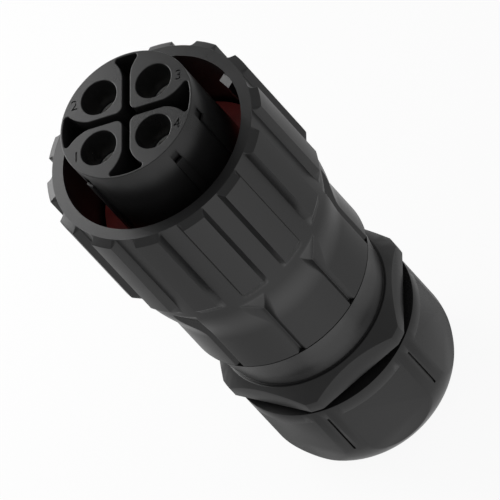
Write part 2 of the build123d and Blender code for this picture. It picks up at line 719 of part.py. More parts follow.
def gland_nut():
    """The six-sided nut that closes the gland and that the connector stands on."""
    body = nut_outline()
    lip_foot = Z_NUT_RIM - NUT_LIP_LENGTH
    keep = hexagon(NUT_ACROSS_FLATS, NUT_PHASE, 0, lip_foot) + rod(NUT_RIM_RADIUS, lip_foot, Z_NUT_RIM)
    body = body & keep
    body = body - rod(NUT_BORE_RADIUS, Z_NUT_FLOOR, Z_NUT_RIM)
    body = body - rod(NUT_CABLE_RADIUS, 0, Z_NUT_FLOOR)
    slit = block(
        (NUT_RIM_RADIUS - NUT_GROOVE_DEPTH, NUT_RIM_RADIUS + NUT_GROOVE_DEPTH),
        (-NUT_GROOVE_WIDTH / 2, NUT_GROOVE_WIDTH / 2),
        (lip_foot - NUT_GROOVE_LENGTH, lip_foot),
    )
    return body - [Rot(0, 0, angle) * slit for angle in spread(6, NUT_PHASE + 30)]


def slip_ring():
    """The washer between the nut's floor and the cage."""
    return tube(SLIP_RING_RADIUS, SLIP_RING_BORE_RADIUS, Z_SLIP_FOOT, Z_SLIP_TOP)


def clamp_cage():
    """The split collet that closes on the cable seal."""
    body = tube(CAGE_RADIUS, CAGE_BORE_RADIUS, Z_CAGE_END, Z_CAGE_TOP)
    body = body + tube(CAGE_HEAD_RADIUS, CAGE_BORE_RADIUS, Z_CAGE_END, Z_SPIGOT_END)
    slit = block(
        (CAGE_BORE_RADIUS - RING_EDGE, CAGE_RADIUS + RING_EDGE),
        (-CAGE_SLIT_WIDTH / 2, CAGE_SLIT_WIDTH / 2),
        (Z_CAGE_TOP - CAGE_SLIT_LENGTH, Z_CAGE_TOP),
    )
    return body - [Rot(0, 0, angle) * slit for angle in spread(CAGE_FINGERS, 0)]


def cable_grommet():
    """The rubber seal that the cable passes through."""
    foot = Z_CAGE_END + FACE_GAP
    return tube(GROMMET_RADIUS, GROMMET_BORE_RADIUS, foot, foot + GROMMET_LENGTH)


save(coupling_ring(), "coupling_ring")
save(inner_shell(), "inner_shell")
save(contact_insert(), "contact_insert")
save(contact_retainer(), "contact_retainer")
save(insert_circlip(), "insert_circlip")
save(interface_seal(), "interface_seal")
save(insert_o_ring(), "insert_o_ring")
save(shell_o_ring(), "shell_o_ring")
save(wave_washer(), "wave_washer")
save(backshell(), "backshell")
save(gland_nut(), "gland_nut")
save(slip_ring(), "slip_ring")
save(clamp_cage(), "clamp_cage")
save(cable_grommet(), "cable_grommet")
for number, angle in enumerate(contact_angles(), start=1):
    save(at_contact(socket_contact(), angle), f"socket_contact_{number}")
    save(at_contact(contact_hood(), angle), f"contact_hood_{number}")
    save(at_contact(terminal_screw(), angle), f"terminal_screw_{number}")
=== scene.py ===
"""Looks for a twist-lock circular connector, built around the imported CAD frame.

The connector stands on its gland nut with the mating face up. The coupling ring
and the contact insert are made here as smooth meshes. The backshell, nut, inner
shell, seal and contacts are copies of their CAD nodes with rounded edges. Every
other piece is the CAD node itself with its finish.
"""

from __future__ import annotations

import logging
import math
from collections.abc import Sequence
from dataclasses import dataclass
from enum import Enum

import bmesh
import bpy
from mathutils import Matrix, Vector

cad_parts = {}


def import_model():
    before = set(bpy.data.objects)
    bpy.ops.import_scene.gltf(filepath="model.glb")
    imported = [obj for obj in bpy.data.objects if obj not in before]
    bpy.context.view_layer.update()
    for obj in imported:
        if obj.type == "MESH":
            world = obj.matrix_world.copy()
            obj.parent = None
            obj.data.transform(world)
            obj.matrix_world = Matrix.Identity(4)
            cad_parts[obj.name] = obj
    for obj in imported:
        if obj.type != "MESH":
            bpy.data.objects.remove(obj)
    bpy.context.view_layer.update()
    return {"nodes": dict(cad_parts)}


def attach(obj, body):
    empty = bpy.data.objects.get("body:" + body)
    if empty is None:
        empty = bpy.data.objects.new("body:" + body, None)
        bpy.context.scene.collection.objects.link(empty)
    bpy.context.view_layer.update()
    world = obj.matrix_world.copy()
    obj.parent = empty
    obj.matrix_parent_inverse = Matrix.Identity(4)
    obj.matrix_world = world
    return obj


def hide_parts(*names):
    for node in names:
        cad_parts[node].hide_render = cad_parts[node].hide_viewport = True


LOG = logging.getLogger("connector")
MM = 0.001
LENGTH = 81.0 * MM
MERGE_DISTANCE = 0.001 * MM
LEVEL_REACH = 0.005 * MM
LEVEL_NORMAL = 0.999

# a point, a range of heights or a range of radii
Pair = tuple[float, float]


class Slot(Enum):
    """The material slots that the record names."""

    PLASTIC = "black_plastic"
    SEAL = "red_seal"
    RUBBER = "black_rubber"
    CONTACT = "contact_metal"
    STEEL = "spring_steel"


class Wire:
    """A socket that sums, products and the like can be written with."""

    def __init__(self, sheet: "NodeSheet", socket: bpy.types.NodeSocket) -> None:
        """Wrap one output socket of a sheet's tree."""
        self.sheet = sheet
        self.socket = socket

    def _maths(self, operation: str, *terms: "Wire | float") -> "Wire":
        """Add one Math node."""
        return self.sheet.maths(operation, *terms)

    def __add__(self, other: "Wire | float") -> "Wire":
        """Sum."""
        return self._maths("ADD", self, other)

    __radd__ = __add__

    def __sub__(self, other: "Wire | float") -> "Wire":
        """Difference."""
        return self._maths("SUBTRACT", self, other)

    def __rsub__(self, other: float) -> "Wire":
        """Difference from a number."""
        return self._maths("SUBTRACT", other, self)

    def __mul__(self, other: "Wire | float") -> "Wire":
        """Product."""
        return self._maths("MULTIPLY", self, other)

    __rmul__ = __mul__

    def __truediv__(self, other: "Wire | float") -> "Wire":
        """Quotient."""
        return self._maths("DIVIDE", self, other)

    def fold(self, half_step: "Wire | float") -> "Wire":
        """Distance to the nearest multiple of twice a half step."""
        return self._maths("PINGPONG", self, half_step)

    def least(self, other: "Wire | float") -> "Wire":
        """The smaller of two values."""
        return self._maths("MINIMUM", self, other)

    def most(self, other: "Wire | float") -> "Wire":
        """The larger of two values."""
        return self._maths("MAXIMUM", self, other)

    def smooth_least(self, other: "Wire | float", reach: float) -> "Wire":
        """The smaller of two values, rounded where they cross."""
        return self._maths("SMOOTH_MIN", self, other, reach)

    def line(self, start: float, end: float, low: float, high: float, hold: bool = True) -> "Wire":
        """Go straight from low to high between two inputs, held at both ends unless told not to."""
        values = {"Value": self, "From Min": start, "From Max": end, "To Min": low, "To Max": high}
        return self.sheet.wire(self.sheet.add("ShaderNodeMapRange", {"clamp": hold}, values), 0)

    def ramp(self, start: "Wire | float", end: "Wire | float", low: float = 0.0, high: float = 1.0) -> "Wire":
        """Go smoothly from low to high between two inputs.

        Args:
            start: The input that gives low.
            end: The input that gives high.
            low: The value before the start.
            high: The value after the end.

        Returns:
            The eased value, held at both ends.
        """
        values = {"Value": self, "From Min": start, "From Max": end, "To Min": low, "To Max": high}
        node = self.sheet.add("ShaderNodeMapRange", {"interpolation_type": "SMOOTHSTEP"}, values)
        return self.sheet.wire(node, 0)


class NodeSheet:
    """Makes the nodes of one shader or geometry tree."""

    def __init__(self, tree: bpy.types.NodeTree) -> None:
        """Start with an empty tree."""
        self.tree = tree
        tree.nodes.clear()

    def add(self, kind: str, settings: dict | None = None, values: dict | None = None) -> bpy.types.Node:
        """Add one node.

        Args:
            kind: The node's type.
            settings: Its own options, set first.
            values: Its inputs by name or number: numbers, colours, sockets or wires.

        Returns:
            The new node.
        """
        node = self.tree.nodes.new(kind)
        for option, choice in (settings or {}).items():
            setattr(node, option, choice)
        for key, value in (values or {}).items():
            socket = node.inputs[key]
            if isinstance(value, Wire):
                value = value.socket
            if isinstance(value, bpy.types.NodeSocket):
                self.tree.links.new(value, socket)
            else:
                socket.default_value = value
        return node

    def wire(self, node: bpy.types.Node, output: str | int = 0) -> Wire:
        """Wrap one of a node's outputs."""
        return Wire(self, node.outputs[output])

    def maths(self, operation: str, *terms: Wire | float) -> Wire:
        """Add one Math node for an operation."""
        values = dict(enumerate(terms))
        return self.wire(self.add("ShaderNodeMath", {"operation": operation}, values))


@dataclass(frozen=True)
class Finish:
    """What every finish shares: a name, a colour, and a material's first and last nodes."""

    name: str
    colour: tuple[float, float, float]
    roughness: float

    def start(self) -> tuple[bpy.types.Material, NodeSheet, bpy.types.NodeSocket]:
        """Make an empty material, its sheet and its Object coordinates."""
        made = bpy.data.materials.new(self.name)
        made.use_nodes = True
        sheet = NodeSheet(made.node_tree)
        return made, sheet, sheet.wire(sheet.add("ShaderNodeTexCoord"), "Object").socket

    def tones(self, sheet: NodeSheet, amount: Wire, first: Sequence[float], second: Sequence[float]) -> Wire:
        """Go from one colour to another by an amount."""
        values = {0: amount, 6: (*first, 1.0), 7: (*second, 1.0)}
        return sheet.wire(sheet.add("ShaderNodeMix", {"data_type": "RGBA"}, values), 2)

    def close(self, sheet: NodeSheet, values: dict) -> None:
        """Finish with the surface's inputs and the material's output."""
        body = sheet.add("ShaderNodeBsdfPrincipled", values=values)
        sheet.add("ShaderNodeOutputMaterial", values={"Surface": body.outputs[0]})


@dataclass(frozen=True)
class MouldedPlastic(Finish):
    """A fine-grained black moulding."""

    colour: tuple[float, float, float] = (0.012, 0.012, 0.0123)
    roughness: float = 0.3
    bright: float = 1.22
    flow_scale: float = 90.0
    flow_gloss: float = 0.05
    grain_size: float = 0.16 * MM
    grain_depth: float = 0.006 * MM
    grain_gloss: float = 0.03
    gloss: float = 0.5

    def material(self) -> bpy.types.Material:
        """Build the material.

        Returns:
            A black plastic with faint flow clouds and a fine grain.
        """
        made, sheet, place = self.start()
        fine = {"Vector": place, "Scale": 1 / self.grain_size, "Detail": 3.0}
        grain = sheet.add("ShaderNodeTexNoise", values=fine)
        broad = {"Vector": place, "Scale": self.flow_scale, "Detail": 4.0}
        flow = sheet.add("ShaderNodeTexNoise", values=broad)
        mottle = sheet.wire(flow, "Fac").ramp(0.35, 0.65)
        speck = sheet.wire(grain, "Fac").ramp(0.3, 0.7)
        light = [self.bright * c for c in self.colour]
        skin = {"Height": speck, "Strength": 0.35, "Distance": self.grain_depth}
        self.close(sheet, {
            "Base Color": self.tones(sheet, mottle, self.colour, light),
            "Roughness": self.roughness - self.grain_gloss + self.flow_gloss * mottle + self.grain_gloss * speck,
            "Specular IOR Level": self.gloss,
            "Normal": sheet.add("ShaderNodeBump", values=skin).outputs[0],
        })
        return made


@dataclass(frozen=True)
class Elastomer(Finish):
    """A soft seal: silicone or black rubber."""

    roughness: float = 0.5
    cloud: float = 0.25
    cloud_scale: float = 420.0
    cloud_gloss: float = 0.08
    skin_scale: float = 3500.0
    skin_depth: float = 0.008 * MM

    def material(self) -> bpy.types.Material:
        """Build the material.

        Returns:
            A material with a faint cloudy tone and a soft skin.
        """
        made, sheet, place = self.start()
        clouds = {"Vector": place, "Scale": self.cloud_scale, "Detail": 3.0}
        cloud = sheet.add("ShaderNodeTexNoise", values=clouds)
        pores = {"Vector": place, "Scale": self.skin_scale, "Detail": 2.0}
        height = sheet.wire(sheet.add("ShaderNodeTexNoise", values=pores), "Fac")
        tone = sheet.wire(cloud, "Fac").ramp(0.3, 0.7)
        dark = [(1 - self.cloud) * c for c in self.colour]
        skin = {"Height": height, "Strength": 0.2, "Distance": self.skin_depth}
        self.close(sheet, {
            "Base Color": self.tones(sheet, tone, dark, self.colour),
            "Roughness": self.roughness - self.cloud_gloss / 2 + self.cloud_gloss * tone,
            "Normal": sheet.add("ShaderNodeBump", values=skin).outputs[0],
        })
        return made


@dataclass(frozen=True)
class BrightMetal(Finish):
    """A turned or stamped metal with faint turning marks along Z."""

    tarnish: tuple[float, float, float] = (0.35, 0.33, 0.26)
    tarnish_share: float = 0.35
    tarnish_scale: float = 700.0
    tarnish_gloss: float = 0.08
    ring_stretch: tuple[float, float, float] = (0.25, 0.25, 6.0)
    ring_scale: float = 900.0
    ring_gloss: float = 0.05
    ring_depth: float = 0.01 * MM

    def material(self) -> bpy.types.Material:
        """Build the material.

        Returns:
            A metal whose tone clouds a little and whose skin has fine rings.
        """
        made, sheet, place = self.start()
        stretch = sheet.add("ShaderNodeMapping", values={"Vector": place, "Scale": self.ring_stretch})
        rings = {"Vector": stretch.outputs[0], "Scale": self.ring_scale, "Detail": 2.0}
        mark = sheet.wire(sheet.add("ShaderNodeTexNoise", values=rings), "Fac")
        clouds = {"Vector": place, "Scale": self.tarnish_scale, "Detail": 4.0}
        tone = sheet.wire(sheet.add("ShaderNodeTexNoise", values=clouds), "Fac").ramp(0.45, 0.75)
        skin = {"Height": mark, "Strength": 0.15, "Distance": self.ring_depth}
        self.close(sheet, {
            "Base Color": self.tones(sheet, tone * self.tarnish_share, self.colour, self.tarnish),
            "Metallic": 1.0,
            "Roughness": self.roughness + self.tarnish_gloss * tone + self.ring_gloss * mark,
            "Normal": sheet.add("ShaderNodeBump", values=skin).outputs[0],
        })
        return made


FINISHES = {
    Slot.PLASTIC: MouldedPlastic("black_plastic"),
    Slot.SEAL: Elastomer("red_seal", (0.42, 0.05, 0.045)),
    Slot.RUBBER: Elastomer("black_rubber", (0.018, 0.018, 0.018), 0.6),
    Slot.CONTACT: BrightMetal("contact_metal", (0.9, 0.89, 0.84), 0.4),
    Slot.STEEL: BrightMetal("spring_steel", (0.8, 0.8, 0.79), 0.45),
}


class Paintbox:
    """Makes each finish once and puts it on pieces."""

    def __init__(self) -> None:
        """Build every material."""
        self.materials = {slot: finish.material() for slot, finish in FINISHES.items()}

    def dress(self, piece: bpy.types.Object, slot: Slot) -> None:
        """Give a piece one finish over all its faces."""
        LOG.info("%s: %s", piece.name, slot.value)
        material = self.materials[slot]
        if piece.material_slots:
            for place in piece.material_slots:
                place.material = material
        else:
            piece.data.materials.append(material)


def link(name: str, mesh: bpy.types.Mesh) -> bpy.types.Object:
    """Put a mesh into the scene as an object at the origin."""
    piece = bpy.data.objects.new(name, mesh)
    bpy.context.scene.collection.objects.link(piece)
    return piece


def lathe(name: str, profile: Sequence[Pair], angles: Sequence[float]) -> bpy.types.Mesh:
    """Turn a closed profile about Z.

    Args:
        name: The mesh's name.
        profile: (radius, height) points in metres, in order round the section.
        angles: The angles of the columns, in radians, rising.

    Returns:
        A closed mesh with outward faces.
    """
    rows, columns = len(profile), len(angles)
    vertices = [(r * math.cos(a), r * math.sin(a), z) for a in angles for r, z in profile]
    faces = []
    for i in range(columns):
        here, there = i * rows, ((i + 1) % columns) * rows
        for j in range(rows):
            k = (j + 1) % rows
            faces.append((here + j, there + j, there + k, here + k))
    mesh = bpy.data.meshes.new(name)
    mesh.from_pydata(vertices, [], faces)
    made = bmesh.new()
    made.from_mesh(mesh)
    bmesh.ops.recalc_face_normals(made, faces=made.faces)
    made.to_mesh(mesh)
    made.free()
    return mesh


def smooth(mesh: bpy.types.Mesh, angle: float = 28.0) -> None:
    """Shade a mesh smooth, with edges over an angle kept sharp."""
    mesh.shade_smooth()
    mesh.set_sharp_from_angle(angle=math.radians(angle))


def tidy_solid(mesh: bpy.types.Mesh, flat: float = 0.0) -> None:
    """Merge a mesh's doubled points and turn its faces outwards.

    Args:
        mesh: The mesh to change.
        flat: Neighbouring faces within this many degrees become one face.
    """
    made = bmesh.new()
    made.from_mesh(mesh)
    bmesh.ops.remove_doubles(made, verts=made.verts, dist=MERGE_DISTANCE)
    if flat:
        bmesh.ops.dissolve_limit(made, angle_limit=math.radians(flat), verts=made.verts, edges=made.edges)
    bmesh.ops.recalc_face_normals(made, faces=made.faces)
    made.to_mesh(mesh)
    made.free()


def even_shading(piece: bpy.types.Object, angle: float = 35.0) -> None:
    """Shade a piece smooth, with its level faces kept flat up to their rounded edges."""
    smooth(piece.data, angle)
    for face in piece.data.polygons:
        face.use_smooth = abs(face.normal.z) < LEVEL_NORMAL


def evaluated(piece: bpy.types.Object, name: str) -> bpy.types.Object:
    """Swap an object that has modifiers for a plain one with the same look."""
    depsgraph = bpy.context.evaluated_depsgraph_get()
    result = bpy.data.meshes.new_from_object(piece.evaluated_get(depsgraph))
    bpy.data.objects.remove(piece)
    result.name = name
    return link(name, result)


def joined(pieces: Sequence[bpy.types.Object], name: str) -> bpy.types.Object:
    """Join several closed objects into one; the old ones are removed."""
    made = bmesh.new()
    for piece in pieces:
        made.from_mesh(piece.data)
        bpy.data.objects.remove(piece)
    mesh = bpy.data.meshes.new(name)
    made.to_mesh(mesh)
    made.free()
    return link(name, mesh)


def cut(piece: bpy.types.Object, cutter: bpy.types.Object, name: str) -> bpy.types.Object:
    """Take one closed object out of another and keep the plain result."""
    modifier = piece.modifiers.new("cut", "BOOLEAN")
    modifier.operation = "DIFFERENCE"
    modifier.solver = "EXACT"
    modifier.use_self = True
    modifier.object = cutter
    made = evaluated(piece, name)
    bpy.data.objects.remove(cutter)
    return made


def run_tree(
    mesh: bpy.types.Mesh, tree: bpy.types.NodeTree, inputs: dict[str, float], name: str
) -> bpy.types.Object:
    """Put a mesh through a geometry tree and keep the plain result.

    Args:
        mesh: The mesh that goes in.
        tree: The geometry tree.
        inputs: Values for the tree's named inputs.
        name: The name of the finished piece.

    Returns:
        A new object with the evaluated mesh and no modifier.
    """
    carrier = link(name + "_raw", mesh)
    modifier = carrier.modifiers.new("rule", "NODES")
    modifier.node_group = tree
    for item in tree.interface.items_tree:
        if item.item_type == "SOCKET" and item.in_out == "INPUT" and item.name in inputs:
            modifier[item.identifier] = inputs[item.name]
    return evaluated(carrier, name)


class RuleTree(NodeSheet):
    """A geometry tree with named number inputs."""

    def __init__(self, name: str, inputs: Sequence[str]) -> None:
        """Make the tree, its inputs and its group nodes.

        Args:
            name: The tree's name.
            inputs: Names of the number inputs.
        """
        tree = bpy.data.node_groups.new(name, "GeometryNodeTree")
        super().__init__(tree)
        tree.interface.new_socket("Geometry", in_out="INPUT", socket_type="NodeSocketGeometry")
        for label in inputs:
            tree.interface.new_socket(label, in_out="INPUT", socket_type="NodeSocketFloat")
        tree.interface.new_socket("Geometry", in_out="OUTPUT", socket_type="NodeSocketGeometry")
        self.source = self.add("NodeGroupInput")

    def given(self, name: str) -> Wire:
        """One of the named inputs."""
        return self.wire(self.source, name)

    def end(self, geometry: bpy.types.NodeSocket, material: bpy.types.Material) -> None:
        """Finish with Realize Instances, Set Material and the output."""
        real = self.add("GeometryNodeRealizeInstances", values={"Geometry": geometry})
        finish = {"Geometry": real.outputs[0], "Material": material}
        dressed = self.add("GeometryNodeSetMaterial", values=finish)
        self.add("NodeGroupOutput", values={0: dressed.outputs[0]})


@dataclass(frozen=True)
class EdgeFinish:
    """Rounds the sharp edges of a CAD node's shape by a small radius."""

    node: str
    body: str
    slot: Slot
    radius: float = 0.12 * MM
    steps: int = 2
    sharp_angle: float = 27.0
    flat: float = 0.5

    def shape(self, source: bpy.types.Object) -> bpy.types.Object:
        """Make the rounded copy.

        Args:
            source: The CAD node.

        Returns:
            A closed plain mesh object, shaded smooth.
        """
        mesh = source.data.copy()
        tidy_solid(mesh, flat=self.flat)
        mesh.shade_smooth()
        raw = link(self.node + "_raw", mesh)
        edge = raw.modifiers.new("edge", "BEVEL")
        edge.width = self.radius
        edge.segments = self.steps
        edge.limit_method = "ANGLE"
        edge.angle_limit = math.radians(self.sharp_angle)
        edge.miter_outer = "MITER_ARC"
        made = evaluated(raw, self.node + "_skin")
        tidy_solid(made.data)
        even_shading(made)
        return made

    def settle(self, made: bpy.types.Object, paint: Paintbox) -> None:
        """Dress a finished shape and let it stand in for its CAD node."""
        paint.dress(made, self.slot)
        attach(made, self.body)
        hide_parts(self.node)
        faces = len(made.data.polygons)
        LOG.info("%s: %d faces, edges rounded by %.2f mm", self.node, faces, self.radius / MM)

    def build(self, nodes: dict[str, bpy.types.Object], paint: Paintbox) -> None:
        """Make, dress and place the finished shape."""
        self.settle(self.shape(nodes[self.node]), paint)


EDGE_FINISHES = (
    EdgeFinish("backshell", "root", Slot.PLASTIC, 0.15 * MM),
    EdgeFinish("gland_nut", "gland_nut", Slot.PLASTIC, 0.12 * MM),
    EdgeFinish("inner_shell", "root", Slot.PLASTIC, 0.1 * MM),
    EdgeFinish("interface_seal", "root", Slot.SEAL, 0.15 * MM),
    *(EdgeFinish(f"socket_contact_{n}", "root", Slot.CONTACT, 0.08 * MM) for n in range(1, 5)),
    *(EdgeFinish(f"contact_hood_{n}", "root", Slot.STEEL, 0.05 * MM) for n in range(1, 5)),
)


def circle(radius: float, steps: int, centre: Pair = (0.0, 0.0)) -> list[Pair]:
    """Points round a circle."""
    turns = [2 * math.pi * i / steps for i in range(steps)]
    return [(centre[0] + radius * math.cos(t), centre[1] + radius * math.sin(t)) for t in turns]


def face_loops(source: bpy.types.Object, height: float) -> list[list[Pair]]:
    """Outlines of a CAD node's flat top, longest reach first.

    Args:
        source: The CAD node.
        height: The height of the flat top.

    Returns:
        Closed loops of (x, y) points in metres.
    """
    mesh = source.data.copy()
    tidy_solid(mesh)
    made = bmesh.new()
    made.from_mesh(mesh)
    flat = {f for f in made.faces if all(abs(v.co.z - height) < LEVEL_REACH for v in f.verts)}
    rim = [e for e in made.edges if sum(f in flat for f in e.link_faces) == 1]
    ways: dict[int, list[int]] = {}
    for edge in rim:
        first, second = (v.index for v in edge.verts)
        ways.setdefault(first, []).append(second)
        ways.setdefault(second, []).append(first)
    places = {v.index: (v.co.x, v.co.y) for e in rim for v in e.verts}
    made.free()
    loops = []
    while places:
        here = next(iter(places))
        loop = []
        while here is not None:
            loop.append(places.pop(here))
            here = next((n for n in ways[here] if n in places), None)
        loops.append(loop)
    return sorted(loops, key=lambda loop: -max(math.hypot(*place) for place in loop))


def plate(name: str, loops: Sequence[Sequence[Pair]], rise: Pair, edge: float = 0.0) -> bpy.types.Object:
    """A flat-ended solid from outlines, with rounded edges.

    Args:
        name: The object's name.
        loops: The outer outline and its holes, in metres.
        rise: Its lower and upper height.
        edge: Radius of the edges.

    Returns:
        A closed mesh object in its place.
    """
    curve = bpy.data.curves.new(name, "CURVE")
    curve.dimensions = "2D"
    curve.fill_mode = "BOTH"
    foot, top = rise
    curve.extrude = ((top - foot) / 2 - edge) / MM
    curve.bevel_depth = edge / MM
    curve.bevel_resolution = 2
    curve.offset = -edge / MM
    for loop in loops:
        spline = curve.splines.new("POLY")
        spline.points.add(len(loop) - 1)
        for point, (x, y) in zip(spline.points, loop):
            point.co = (x / MM, y / MM, 0.0, 1.0)
        spline.use_cyclic_u = True
    drawn = bpy.data.objects.new(name, curve)
    bpy.context.scene.collection.objects.link(drawn)
    made = evaluated(drawn, name)
    made.data.transform(Matrix.Translation((0, 0, (foot + top) / 2)) @ Matrix.Scale(MM, 4))
    tidy_solid(made.data)
    return made


def spoke(name: str, reach: Pair, width: float, rise: Pair, angle: float) -> bpy.types.Object:
    """A block that points outwards from the axis.

    Args:
        name: The object's name.
        reach: Its inner and outer radius.
        width: Its width across.
        rise: Its lower and upper height.
        angle: The direction it points in, in degrees.

    Returns:
        A closed mesh object in its place.
    """
    half = width / 2
    corners = [(reach[0], -half), (reach[1], -half), (reach[1], half), (reach[0], half)]
    made = plate(name, [corners], rise)
    made.data.transform(Matrix.Rotation(math.radians(angle), 4, "Z"))
    return made


@dataclass
class InsertFace:
    """The contact insert: numbered face, cross slot, holes and coding ribs."""

    paint: Paintbox
    height: float = LENGTH
    radius: float = 11.2 * MM
    step: float = LENGTH - 21.8 * MM
    slot_floor: float = LENGTH - 15.0 * MM
    hole_floor: float = LENGTH - 18.5 * MM
    rear: float = LENGTH - 36.0 * MM
    body_radius: float = 10.75 * MM
    hole_circle: float = 6.54 * MM
    narrow_hole: float = 2.55 * MM
    wide_hole: float = 3.05 * MM
    edge: float = 0.12 * MM
    rib_angles: tuple[float, ...] = (-50.3, -10.8, 90.0, 160.0, -133.3)
    rib_width: float = 1.3 * MM
    rib_height: float = 0.35 * MM
    rib_span: tuple[float, float] = (LENGTH - 18.3 * MM, LENGTH - 3.3 * MM)
    pocket_span: tuple[float, float] = (LENGTH - 3.3 * MM, LENGTH - 1.7 * MM)
    pocket_depth: float = 0.3 * MM
    digit_radius: float = 9.85 * MM
    digit_height: float = 1.8 * MM
    digit_depth: float = 0.18 * MM
    digit_angles: tuple[float, ...] = (-148.6, 153.4, 25.4, -28.3)
    font_size: float = 1.4
    font_extrude: float = 0.1
    rim_steps: int = 128
    body_steps: int = 96
    hole_steps: int = 32
    cutter_reach: float = 1.0 * MM

    def digit(self, number: int, angle: float) -> bpy.types.Object:
        """One number as a closed solid that stands through the face.

        Args:
            number: The number to write.
            angle: Where it stands on the face, in degrees.

        Returns:
            An object at the origin, its mesh already in place.
        """
        curve = bpy.data.curves.new(f"digit_{number}", "FONT")
        curve.body = str(number)
        curve.align_x, curve.align_y = "CENTER", "CENTER"
        curve.size = self.font_size
        curve.extrude = self.font_extrude
        text = bpy.data.objects.new(f"digit_{number}", curve)
        bpy.context.scene.collection.objects.link(text)
        made = evaluated(text, f"digit_{number}_solid")
        turn = math.radians(angle)
        place = Vector((self.digit_radius * math.cos(turn), self.digit_radius * math.sin(turn), self.height))
        depth = self.digit_depth / self.font_extrude
        size = Matrix.Diagonal((self.digit_height, self.digit_height, depth, 1.0))
        made.data.transform(Matrix.Translation(place) @ size)
        tidy_solid(made.data)
        return made

    def front(self, source: bpy.types.Object) -> bpy.types.Object:
        """The part in front of the step, with its slot, holes, pockets and numbers cut."""
        outlines = [circle(self.radius, self.rim_steps), *face_loops(source, self.height)[1:]]
        solid = plate("insert_front", outlines, (self.step, self.height), self.edge)
        reach = (self.radius - self.pocket_depth, self.radius + self.cutter_reach)
        cutters = [self.digit(number, angle) for number, angle in enumerate(self.digit_angles, start=1)]
        cutters += [
            spoke(f"pocket_{i}", reach, self.rib_width, self.pocket_span, angle)
            for i, angle in enumerate(self.rib_angles)
        ]
        return cut(solid, joined(cutters, "insert_cutters"), "insert_cut")

    def inside(self) -> list[bpy.types.Object]:
        """The slot's floor, the body behind the step and the coding ribs."""
        offset = math.sqrt(0.5) * self.hole_circle
        places = [(x, y) for x in (-offset, offset) for y in (-offset, offset)]
        floor = [circle(self.radius - 2 * self.edge, self.body_steps)]
        floor += [circle(self.wide_hole, self.hole_steps, place) for place in places]
        body = [circle(self.body_radius, self.body_steps)]
        body += [circle(self.narrow_hole, self.hole_steps, place) for place in places]
        pieces = [
            plate("slot_floor", floor, (self.hole_floor, self.slot_floor)),
            plate("insert_rear", body, (self.rear, self.hole_floor)),
        ]
        reach = (self.radius - self.rib_height, self.radius + self.rib_height)
        for i, angle in enumerate(self.rib_angles):
            pieces.append(spoke(f"rib_{i}", reach, self.rib_width, self.rib_span, angle))
        return pieces

    def build(self, nodes: dict[str, bpy.types.Object]) -> None:
        """Make the whole insert and set it in place."""
        finish = EdgeFinish("contact_insert", "root", Slot.PLASTIC, self.edge)
        whole = joined([self.front(nodes[finish.node]), *self.inside()], "insert_skin")
        even_shading(whole)
        finish.settle(whole, self.paint)


